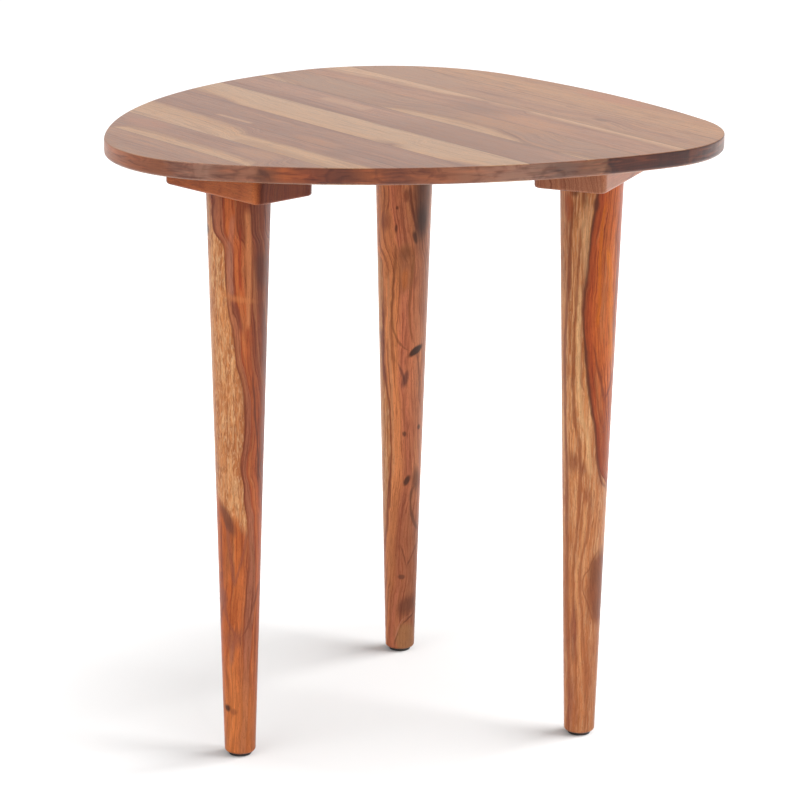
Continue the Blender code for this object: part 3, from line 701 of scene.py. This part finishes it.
def turned_piece(profile, steps):
    """Turn a profile of (radius, height) points about the Z axis."""
    place = Vector((profile[0][0], 0, profile[0][1]))
    piece = add_point(place)
    for radius, height in profile[1:]:
        step = Vector((radius, 0, height)) - place
        bpy.ops.mesh.extrude_region_move(TRANSFORM_OT_translate={"value": step})
        place += step
    bpy.ops.mesh.select_all(action="SELECT")
    bpy.ops.mesh.spin(steps=steps, angle=math.tau, center=(0, 0, 0), axis=(0, 0, 1))
    bpy.ops.mesh.select_all(action="SELECT")
    bpy.ops.mesh.remove_doubles(threshold=WELD)
    bpy.ops.mesh.normals_make_consistent(inside=False)
    bpy.ops.object.mode_set(mode="OBJECT")
    assert piece.data.polygons, "the profile was not turned"
    return piece


def add_thread(start, root, crest, pitch, turns):
    """A V thread from that height up: its profile, one pitch high, wound by a screw modifier."""
    thread = add_point((root, 0, start))
    for out in (crest - root, root - crest):
        bpy.ops.mesh.extrude_region_move(TRANSFORM_OT_translate={"value": (out, 0, pitch / 2)})
    bpy.ops.object.mode_set(mode="OBJECT")
    apply_modifier(thread, "SCREW", screw_offset=pitch, iterations=turns, steps=SCREW_STEPS // 2,
                   render_steps=SCREW_STEPS // 2)
    assert thread.data.polygons, "the thread was not wound"
    return thread


screw_low, screw_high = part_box("cleat_screw_back_1")
screw_length = screw_high.z - screw_low.z
head, shank, root = SCREW_HEAD_DIAMETER / 2, SCREW_DIAMETER / 2, SCREW_ROOT_DIAMETER / 2
shank_end = screw_length - SCREW_NARROW_LENGTH
point_start = screw_length - SCREW_POINT_LENGTH
screw_blank = turned_piece([
    (0, 0), (head - SCREW_ARRIS, 0), (head, SCREW_ARRIS), (head, SCREW_RIM_HEIGHT),
    (shank, SCREW_HEAD_HEIGHT), (shank, shank_end), (root, shank_end + THREAD_PITCH / 2),
    (root, point_start), (0, screw_length)], SCREW_STEPS)
for turn in (0, math.pi / 2):
    bpy.ops.mesh.primitive_cube_add(size=1, rotation=(0, 0, turn),
                                    scale=(RECESS_LENGTH, RECESS_WIDTH, 2 * RECESS_DEPTH))
    bar = bpy.context.active_object
    apply_modifier(screw_blank, "BOOLEAN", operation="DIFFERENCE", solver="EXACT", object=bar)
    bpy.data.objects.remove(bar)
join_pieces(screw_blank, add_thread(point_start - (THREAD_TURNS + 1) * THREAD_PITCH,
                                    root * THREAD_SEAT_SHARE, shank, THREAD_PITCH, THREAD_TURNS))
smooth(screw_blank)

# Bright zinc plate: a thin, uneven coat that is a little bluish here and yellowish there
zinc, tree, shader = new_material("zinc_plated_steel")
shader.inputs["Metallic"].default_value = 1.0
coat = add_node(tree, "TexNoise", {"Vector": add_node(tree, "TexCoord").outputs["Object"], "Scale": 350,
                                   "Detail": 4})
share = add_node(tree, "MapRange", {"Value": coat, "From Min": 0.35, "From Max": 0.65})
tree.links.new(mix_in(tree, share, 0.8, to_linear("#c3c8ca"), "#bdb8a4"), shader.inputs["Base Color"])
sheen = add_node(tree, "MapRange", {"Value": coat, "From Min": 0.3, "From Max": 0.7, "To Min": 0.24,
                                    "To Max": 0.40})
tree.links.new(sheen.outputs[0], shader.inputs["Roughness"])
for node in nodes_named("threaded_insert_") + nodes_named("hanger_bolt_"):
    node.data.materials.clear()
    node.data.materials.append(zinc)
screw_blank.data.materials.append(zinc)
for node in nodes_named("cleat_screw_"):
    middle = middle_of(node.name)
    screw = copy_piece(screw_blank, node.name.replace("cleat_screw", "steel_screw"))
    set_up(screw, (middle.x, middle.y, screw_low.z), SCREW_TURN)
    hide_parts(node.name)
    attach(screw, "root")
bpy.data.objects.remove(screw_blank)

# Legs. Each is turned from rosewood to a plain cone with its grain upright, and its ends are bored for
# the hanger bolt and the glide's nail.
LEG_STEPS = 128
LEG_TOP_ARRIS = 0.001
LEG_FOOT_ROUND = 0.003
LEG_ROUND_STEPS = 5
LEG_TOP_DIAMETER = 0.0563
LEG_FOOT_DIAMETER = 0.0276
BOLT_HOLE_DIAMETER = 0.0086
BOLT_HOLE_DEPTH = 0.0383
NAIL_HOLE_DIAMETER = 0.0026
NAIL_HOLE_DEPTH = 0.0130

# Each leg's figure, in mm up from the floor and across from the leg's axis, as seen from the front
LEG_FIGURE_HEIGHT = 515
LEG_FIGURES = {
    "front_left": {
        "seed": 41, "heart": (70, 10), "sapwood": (223, 1.1, 9, 1),
        "line": [(0, 0), (120, 5), (185, 9), (222, 8.6), (240, 6), (257, 4.6), (275, 1.2), (293, 3.4),
                 (328, 4.8), (346, 3), (372, -3.2), (399, -5.4), (420, -8.9), (443, -10.6), (469, -12),
                 (488, -22), (515, -24)],
        "bands": [(-14, "#bc602a"), (-6, "#c36832"), (-1, "#b96032"), (0.5, "#9c5332"), (1.5, "#a35d40"),
                  (5, "#aa6342"), (6, "#9d4626"), (8, "#c16634"), (13, "#b65b2f"), (17, "#954a28"),
                  (30, "#7f4026")],
        "veins": [
            (0.9, "#6a3220", 0.55, [(515, -20), (500, -21.5), (488, -20.5), (469, -12), (443, -10),
                                   (420, -8.2), (399, -4.8), (372, -2.6), (346, 3.6), (328, 5.4)]),
            (3.0, "#a0705e", 0.35, [(500, -4), (480, -6), (455, -6.5), (428, -4.5)]),
            (0.9, "#8a3218", 0.8, [(490, 2.5), (460, 2.2), (434, 2.4)]),
            (2.6, "#cd8250", 0.7, [(505, 8), (470, 8.5), (430, 9), (400, 8)]),
            (2.4, "#7a3c2a", 0.7, [(424, -3), (410, 0), (396, 3)]),
            (0.9, "#5c3020", 0.8, [(358, 13), (330, 14), (290, 16), (256, 17)]),
            (2.4, "#8a4a36", 0.6, [(222, -9), (195, -6.5), (175, -4.5), (164, -3)]),
            (1.4, "#8a4a36", 0.55, [(215, 9), (195, 6), (177, 1), (164, -3)]),
            (1.8, "#8a4630", 0.6, [(175, -15), (150, -14), (132, -10), (117, -3)]),
            (0.9, "#7c3a22", 0.7, [(222, -15.5), (195, -15.5), (165, -15)]),
            (1.1, "#7a3f28", 0.7, [(165, 18.5), (143, 12.3), (120, 6), (115, 0)]),
            (2.4, "#8a5342", 0.6, [(110, -6), (88, -7)]),
            (0.8, "#8a4428", 0.6, [(80, 11), (50, 10.5), (15, 10)])],
        "stains": [
            (484, -27, 6, 4, 0, 0.6, "#3f241a", 0.8), (452, 20, 15, 6, 0, 1.2, "#4c2010", 0.6),
            (426, 2, 2.6, 12, 12, 1.6, "#cc7c48", 0.5), (330, 11, 70, 12, 0, 1.2, "#7c3a20", 0.3),
            (225, -9, 15, 4.5, -25, 0.9, "#5c3428", 0.7),
            (113, -4.6, 9, 7, 25, 1.5, "#7c4434", 0.6), (150, -14, 10, 4, 0, 0.9, "#8a4c38", 0.6),
            (20, 0, 60, 40, 0, 1.2, "#cd7a40", 0.45),
            (46.6, -10.3, 3.0, 2.3, 0, 1.1, "#371a0e", 0.9), (44, -5, 3, 3, 0, 0.9, "#7e4226", 0.6)],
        "knots": [(46.6, -10.3, 22, 9, 3)],
    },
    "front_right": {
        "seed": 52, "heart": (80, 30), "sapwood": (-999, 0, 1, 4), "streaks": 0.8, "years": 0.7,
        "line": [(0, 34), (185, 34), (215, 26), (240, 19), (263, 10.2), (289, 7.9), (315, 2.3), (333, 0.3),
                 (368, -2.9), (403, -5.3), (438, -3.6), (468, -1), (494, 2.5), (515, 3.8)],
        "bands": [(-5, "#823a1f"), (0.8, "#8d3f1d"), (3, "#ad4d23"), (9, "#c7642b"), (20, "#c9682d"),
                  (34, "#af5427")],
        "veins": [
            (1.5, "#5e2e1c", 0.85, [(515, 3.8), (494, 2.5), (468, -1), (438, -3.6), (403, -5.3), (368, -2.9),
                                    (333, 0.3), (315, 2.3), (289, 7.9), (263, 10.2), (238, 19)]),
            (1.8, "#7e4026", 0.75, [(500, -18), (440, -20), (370, -20.5), (300, -18)]),
            (1.4, "#8a4a2a", 0.75, [(480, -10), (420, -12), (350, -12.5), (290, -9)]),
            (1.2, "#8a4e34", 0.6, [(470, -4), (420, -6.5), (370, -7), (330, -4)]),
            (2.2, "#dcb07c", 0.5, [(425, -9), (395, -9), (350, -8.5), (310, -6), (285, 0), (250, 4)]),
            (2.2, "#cf7410", 0.5, [(460, 15), (410, 17), (355, 18.5)]),
            (1.4, "#c8680c", 0.5, [(500, 12), (440, 8), (390, 7)]),
            (1.1, "#7a3418", 0.8, [(372, 4), (345, 9), (320, 13.5)]),
            (1.1, "#7a3418", 0.8, [(345, 20), (330, 17), (320, 13.5)]),
            (1.0, "#8a4420", 0.8, [(345, 5), (315, 9), (295, 13)]),
            (0.9, "#7c3c1e", 0.7, [(470, 22), (440, 23), (400, 21), (370, 20)]),
            (1.6, "#7e4228", 0.75, [(300, -18), (250, -17), (190, -16), (120, -14), (60, -12), (10, -11)]),
            (1.5, "#8e5030", 0.75, [(290, -8), (235, -6), (190, -7.5), (150, -9), (110, -7), (60, -5),
                                    (10, -4)]),
            (1.4, "#8e5030", 0.7, [(230, 5), (195, 3), (152, -3), (120, 0), (70, 4), (10, 4)]),
            (1.4, "#dba06a", 0.7, [(220, 0), (185, -2), (150, -6), (115, -3), (60, 0)]),
            (0.9, "#7e4426", 0.7, [(178, 14), (163, 6), (149, 0), (130, 4.5), (112, 10)])],
        "stains": [
            (511, -18, 5, 4, 0, 0.8, "#5e3020", 0.7), (500, 3, 6, 3, 0, 0.8, "#5a2c1a", 0.7),
            (505, -8, 9, 3, 0, 0.9, "#7a4526", 0.6), (495, -22, 12, 3, 0, 0.9, "#a4542c", 0.6),
            (232, 1, 7, 4, 0, 0.9, "#8a4c2e", 0.6), (143, 16, 36, 14.5, 0, 0.5, "#5c2a16", 0.9),
            (160, 11, 12, 5, 0, 0.9, "#58341f", 0.7), (122, 12, 9, 3, 0, 0.9, "#58341f", 0.6),
            (40, 0, 190, 60, 0, 1.4, "#a45a34", 0.45), (285, 17, 42, 14, 0, 1.0, "#7a2c10", 0.4),
            (100, -8, 26, 3.5, 0, 1.2, "#7a4032", 0.55), (30, -9, 30, 3, 0, 1.2, "#7a4032", 0.5),
            (262, -12, 9, 5, 0, 1.4, "#7a3e28", 0.6), (258, -3, 6, 3, 0, 1.4, "#7a3e28", 0.5),
            (500, -22, 14, 4, 0, 1.4, "#a84c24", 0.5), (470, -6, 30, 3, 0, 1.4, "#d9ac7c", 0.5),
            (60, 6, 30, 4, 0, 1.2, "#a05a34", 0.5)],
        "knots": [(143, 16, 60, 28, 9)],
    },
    "back": {
        "seed": 63, "heart": (60, -5), "sapwood": (114, 0, 12, 3),
        "line": [(0, -22), (126, -15.8), (158, -14.4), (191, -12.2), (240, -12), (282, -17), (379, -20.5),
                 (410, -26), (515, -32)],
        "bands": [(-6, "#cf8354"), (0.5, "#9c5b3c"), (2, "#df8e58"), (9, "#d98854"), (14, "#cb7854"),
                  (24, "#bf764f"), (40, "#ab6d48")],
        "veins": [
            (1.0, "#7a3a24", 0.7, [(467, -21), (448, -19), (434, -20)]),
            (1.0, "#7a3a24", 0.6, [(467, -16), (453, -15), (441, -17)]),
            (1.6, "#6a3826", 0.8, [(467, 5), (448, 7), (420, 12)]),
            (1.5, "#7a4426", 0.6, [(410, -6.5), (381, -8.5), (334, -9.5), (319, -5), (305, 9)]),
            (1.4, "#7a4426", 0.6, [(408, 9), (381, 8.5), (362, 7.5), (331, 8), (313, 13)]),
            (1.6, "#774332", 0.8, [(293, -3), (282, 1), (271, 4.5)]),
            (1.0, "#713c28", 0.8, [(303, 14), (277, 16), (250, 16.5)]),
            (0.9, "#83432a", 0.8, [(324, -19), (286, -17.5), (238, -11), (191, -10.5), (143, -12)]),
            (0.8, "#8c4c30", 0.7, [(315, -14), (277, -12), (238, -7.5)]),
            (1.3, "#c9885c", 0.7, [(381, -14), (324, -13), (248, -9), (181, -8)]),
            (1.0, "#9c5636", 0.6, [(267, 3), (229, 3), (181, 3)]),
            (1.2, "#5f3a26", 0.85, [(170, 12), (160, 9), (143, 9.8), (122, 15)]),
            (0.9, "#7a4630", 0.8, [(111, 0.5), (99, 3.5), (88, 6)]),
            (0.9, "#7a4630", 0.8, [(113, 15), (99, 10.5), (88, 6)]),
            (1.0, "#d08a68", 0.7, [(38.3, 11), (30.6, 2), (13.5, -4)]),
            (1.0, "#5c3426", 0.8, [(42.1, 15), (34.4, 9), (24, 1), (7.8, -4.5)])],
        "stains": [
            (455, 18, 42, 11, 3, 1.1, "#43200f", 0.8), (432, 17, 15, 6, 0, 1.1, "#2e160a", 0.7),
            (457, 2, 6, 2.6, 0, 0.9, "#6e3420", 0.7), (430, -18, 8, 4.5, 0, 1.3, "#7c3e2c", 0.6),
            (445, -6.8, 1.8, 1.4, 0, 1.0, "#2e1a12", 0.7), (425, -6.9, 4, 0.8, 0, 1.0, "#2e1a12", 0.65),
            (416, 10, 6, 2.4, -12, 0.9, "#3a2014", 0.85), (387, 2, 24, 8.2, 0, 0.5, "#9a643c", 0.5),
            (401, 2, 6, 4.5, 0, 1.4, "#6e4024", 0.6), (376, 2.5, 10, 2.6, 0, 0.9, "#c06c30", 0.5),
            (70, 4, 90, 40, 0, 1.2, "#7c4228", 0.45), (305, 13, 8.5, 3.2, 52, 0.6, "#331a0e", 0.95),
            (278, 3.5, 8, 2.6, 15, 0.9, "#6a3c30", 0.8),
            (228, 15.5, 2.5, 1.2, 0, 0.8, "#4a2818", 0.8), (223, 2.8, 2.6, 1.5, 0, 0.8, "#4f2c1e", 0.8),
            (176, 4.7, 5.5, 2.7, 25, 0.7, "#43261a", 0.9), (176, 12.7, 12, 3.2, 0, 1.2, "#6a3a20", 0.8),
            (78, 2, 2.4, 2.8, 0, 0.9, "#5c3424", 0.75), (48, 7, 7, 11, -55, 1.3, "#5c3020", 0.7),
            (12.5, 6.5, 17, 9, 0, 0.5, "#a06c44", 0.85)],
        "knots": [(387, 2, 46, 15, 5), (305, 13, 30, 14, 4), (176, 8, 30, 12, 3), (78, 2, 20, 12, 3)],
    },
}


def depth_at(height, across):
    """Depth of a leg's front, in mm from its axis, at a height and a place across it."""
    spread = (LEG_TOP_DIAMETER - LEG_FOOT_DIAMETER) * height / LEG_FIGURE_HEIGHT
    radius = MM / 2 * (LEG_FOOT_DIAMETER + spread)
    return -math.sqrt(max(radius ** 2 - across ** 2, 0))


leg_low, leg_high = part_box("leg_back")
leg_length = leg_high.z - leg_low.z
bpy.ops.mesh.primitive_cone_add(vertices=LEG_STEPS, radius1=LEG_FOOT_DIAMETER / 2,
                                radius2=LEG_TOP_DIAMETER / 2, depth=leg_length,
                                location=(0, 0, leg_length / 2))
turned = bpy.context.active_object
select_only(turned)
bpy.ops.object.transform_apply(location=True, rotation=True, scale=True)
bpy.ops.object.mode_set(mode="EDIT")
for level, arris in ((leg_length, LEG_TOP_ARRIS), (0, LEG_FOOT_ROUND)):
    select_where(turned, "edges", edges_at(turned, level))
    bpy.ops.mesh.bevel(offset=arris, segments=LEG_ROUND_STEPS)
for level, reach, hole, depth in (
        (leg_length, LEG_TOP_DIAMETER / 2 - LEG_TOP_ARRIS, BOLT_HOLE_DIAMETER / 2, -BOLT_HOLE_DEPTH),
        (0, LEG_FOOT_DIAMETER / 2 - LEG_FOOT_ROUND, NAIL_HOLE_DIAMETER / 2, NAIL_HOLE_DEPTH)):
    select_where(turned, "polygons", lambda face: len(face.vertices) > 4
                 and abs(face.center.z - level) < WELD)
    bpy.ops.mesh.inset(thickness=reach - hole)
    bpy.ops.mesh.extrude_region_move(TRANSFORM_OT_translate={"value": (0, 0, depth)})
bpy.ops.object.mode_set(mode="OBJECT")
smooth(turned)
for station in STATIONS:
    axis = middle_of("hanger_bolt_" + station)
    leg = copy_piece(turned, "wood_leg_" + station)
    set_up(leg, (axis.x, axis.y, leg_low.z), 0)
    leg.data.materials.append(add_rosewood(
        "rosewood_leg_" + station, (0, -MM * axis.x, -MM * axis.y), (math.pi / 2, 0, math.pi / 2),
        Vector((0, 0, 1)), face=depth_at, **LEG_FIGURES[station]))
    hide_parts("leg_" + station)
    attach(leg, "root")
bpy.data.objects.remove(turned)

# Glides. Each is a disc of dark nylon, moulded round the head of a nail that holds it to the foot. Its
# lower edge is rounded to slide, and the moulding gate leaves a dimple in the middle.
GLIDE_STEPS = 64
GLIDE_EDGE_ROUND = 0.0006
GLIDE_EDGE_STEPS = 6
GLIDE_ARRIS = 0.0002
GLIDE_HEIGHT = 0.0025
GLIDE_DIMPLE_RADIUS = 0.0015
GLIDE_DIMPLE_DEPTH = 0.0002
NAIL_DIAMETER = 0.002

glide_low, glide_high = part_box("glide_back")
nail_end = glide_high.z - glide_low.z
reach, nail = (glide_high.x - glide_low.x) / 2, NAIL_DIAMETER / 2
edge = [(reach - GLIDE_EDGE_ROUND * (1 - math.sin(turn)), GLIDE_EDGE_ROUND * (1 - math.cos(turn)))
        for turn in (math.pi / 2 * step / GLIDE_EDGE_STEPS for step in range(GLIDE_EDGE_STEPS + 1))]
moulded = turned_piece([
    (0, GLIDE_DIMPLE_DEPTH), (GLIDE_DIMPLE_RADIUS, GLIDE_DIMPLE_DEPTH), (GLIDE_DIMPLE_RADIUS, 0), *edge,
    (reach, GLIDE_HEIGHT - GLIDE_ARRIS), (reach - GLIDE_ARRIS, GLIDE_HEIGHT), (nail, GLIDE_HEIGHT),
    (nail, nail_end - NAIL_DIAMETER), (0, nail_end)], GLIDE_STEPS)
smooth(moulded)

# Moulded nylon: nearly black, matt, with a fine grain and a few rubbed patches
nylon, tree, shader = new_material("dark_nylon")
where = add_node(tree, "TexCoord").outputs["Object"]
rubbed = add_node(tree, "TexNoise", {"Vector": where, "Scale": 220, "Detail": 3})
share = add_node(tree, "MapRange", {"Value": rubbed, "From Min": 0.4, "From Max": 0.7})
tree.links.new(mix_in(tree, share, 0.6, to_linear("#241f1d"), "#39322e"), shader.inputs["Base Color"])
sheen = add_node(tree, "MapRange", {"Value": rubbed, "From Min": 0.3, "From Max": 0.7, "To Min": 0.42,
                                    "To Max": 0.58})
tree.links.new(sheen.outputs[0], shader.inputs["Roughness"])
grit = add_node(tree, "TexNoise", {"Vector": where, "Scale": 4000, "Detail": 2})
grit = add_node(tree, "Bump", {"Height": grit, "Strength": 0.2, "Distance": 0.0001})
tree.links.new(grit.outputs[0], shader.inputs["Normal"])
moulded.data.materials.append(nylon)
for station in STATIONS:
    middle = middle_of("glide_" + station)
    glide = copy_piece(moulded, "nylon_glide_" + station)
    set_up(glide, (middle.x, middle.y, glide_low.z), 0)
    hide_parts("glide_" + station)
    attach(glide, "root")
bpy.data.objects.remove(moulded)

# Studio. A wide white floor, an even white surround and a large soft lamp at the front left. Two more
# lamps, at the right and overhead, light only the floor, for the legs' soft shadows. The floor also glows
# for the camera, little near the legs and more further out, so that it fades to white.
FLOOR_SIZE = 40
FLOOR_COLOUR = "#bdbdbd"
FLOOR_LIFT_NEAR = 0.02
FLOOR_LIFT_FAR = 0.60
FLOOR_NEAR = 0.20
FLOOR_FAR = 0.62
SURROUND_STRENGTH = 0.72
LAMPS = {
    "key": {"power": 34, "width": 2.0, "height": 2.0, "place": (-1.6, -1.8, 2.2)},
    "floor_lamp": {"power": 212, "width": 3.0, "height": 0.8, "place": (2.4, 0.35, 1.45)},
    "floor_top_lamp": {"power": 19, "width": 0.9, "height": 0.9, "place": (0.35, -0.3, 2.2)},
}
FLOOR_LAMPS = ("floor_lamp", "floor_top_lamp")
LAMP_AIM = Vector((0, 0, 0.25))
CAMERA_PLACE = (-0.01205, -3.18987, 1.17178)
CAMERA_TILT = 74.532
CAMERA_ROLL = 0.540
CAMERA_LENS = 162.1
CAMERA_REACH = 100


def seen_share(tree):
    """1 for a surface seen by the camera, in a reflection or through glass, 0 for the light it gives."""
    path = add_node(tree, "LightPath")
    seen = add_node(tree, "Math", {0: path.outputs["Is Camera Ray"], 1: path.outputs["Is Glossy Ray"]})
    return add_node(tree, "Math", {0: seen, 1: path.outputs["Is Transmission Ray"]})


bpy.ops.mesh.primitive_plane_add(size=FLOOR_SIZE)
floor = bpy.context.active_object
floor.name = "floor"
white, tree, shader = new_material("white_paper")
tree.nodes.remove(shader)
away = add_node(tree, "VectorMath", {0: add_node(tree, "TexCoord").outputs["Object"]}, operation="LENGTH")
lift = add_node(tree, "MapRange", {"Value": away, "From Min": FLOOR_NEAR, "From Max": FLOOR_FAR,
                                   "To Min": FLOOR_LIFT_NEAR, "To Max": FLOOR_LIFT_FAR})
lift = add_node(tree, "Math", {0: seen_share(tree), 1: lift}, operation="MULTIPLY")
paper = add_node(tree, "BsdfDiffuse", {"Color": to_linear(FLOOR_COLOUR)})
glow = add_node(tree, "Emission", {"Strength": lift})
both = add_node(tree, "AddShader", {0: paper, 1: glow})
tree.links.new(both.outputs[0], tree.nodes["Material Output"].inputs["Surface"])
floor.data.materials.append(white)

world = bpy.data.worlds.new("surround")
bpy.context.scene.world = world
world.use_nodes = True
tree = world.node_tree
level = add_node(tree, "MapRange", {"Value": seen_share(tree), "To Min": SURROUND_STRENGTH, "To Max": 1.0})
tree.links.new(level.outputs[0], tree.nodes["Background"].inputs["Strength"])
tree.nodes["Background"].inputs["Color"].default_value = (1, 1, 1, 1)

for name, lamp in LAMPS.items():
    light = bpy.data.lights.new(name, "AREA")
    light.energy = lamp["power"]
    light.shape = "RECTANGLE"
    light.size, light.size_y = lamp["width"], lamp["height"]
    light = bpy.data.objects.new(name, light)
    light.location = lamp["place"]
    light.rotation_euler = (LAMP_AIM - light.location).to_track_quat("-Z", "Y").to_euler()
    bpy.context.scene.collection.objects.link(light)
lit = bpy.data.collections.new("lit_by_floor_lamp")
lit.objects.link(floor)
for name in FLOOR_LAMPS:
    bpy.data.objects[name].light_linking.receiver_collection = lit

camera = bpy.data.objects.new("camera", bpy.data.cameras.new("camera"))
camera.data.lens = CAMERA_LENS
camera.data.clip_end = CAMERA_REACH
camera.location = CAMERA_PLACE
camera.rotation_mode = "XYZ"
camera.rotation_euler = (math.radians(CAMERA_TILT), 0, 0)
camera.rotation_euler.rotate_axis("Z", math.radians(CAMERA_ROLL))
bpy.context.scene.collection.objects.link(camera)
bpy.context.scene.camera = camera
bpy.context.scene.view_settings.view_transform = "Standard"
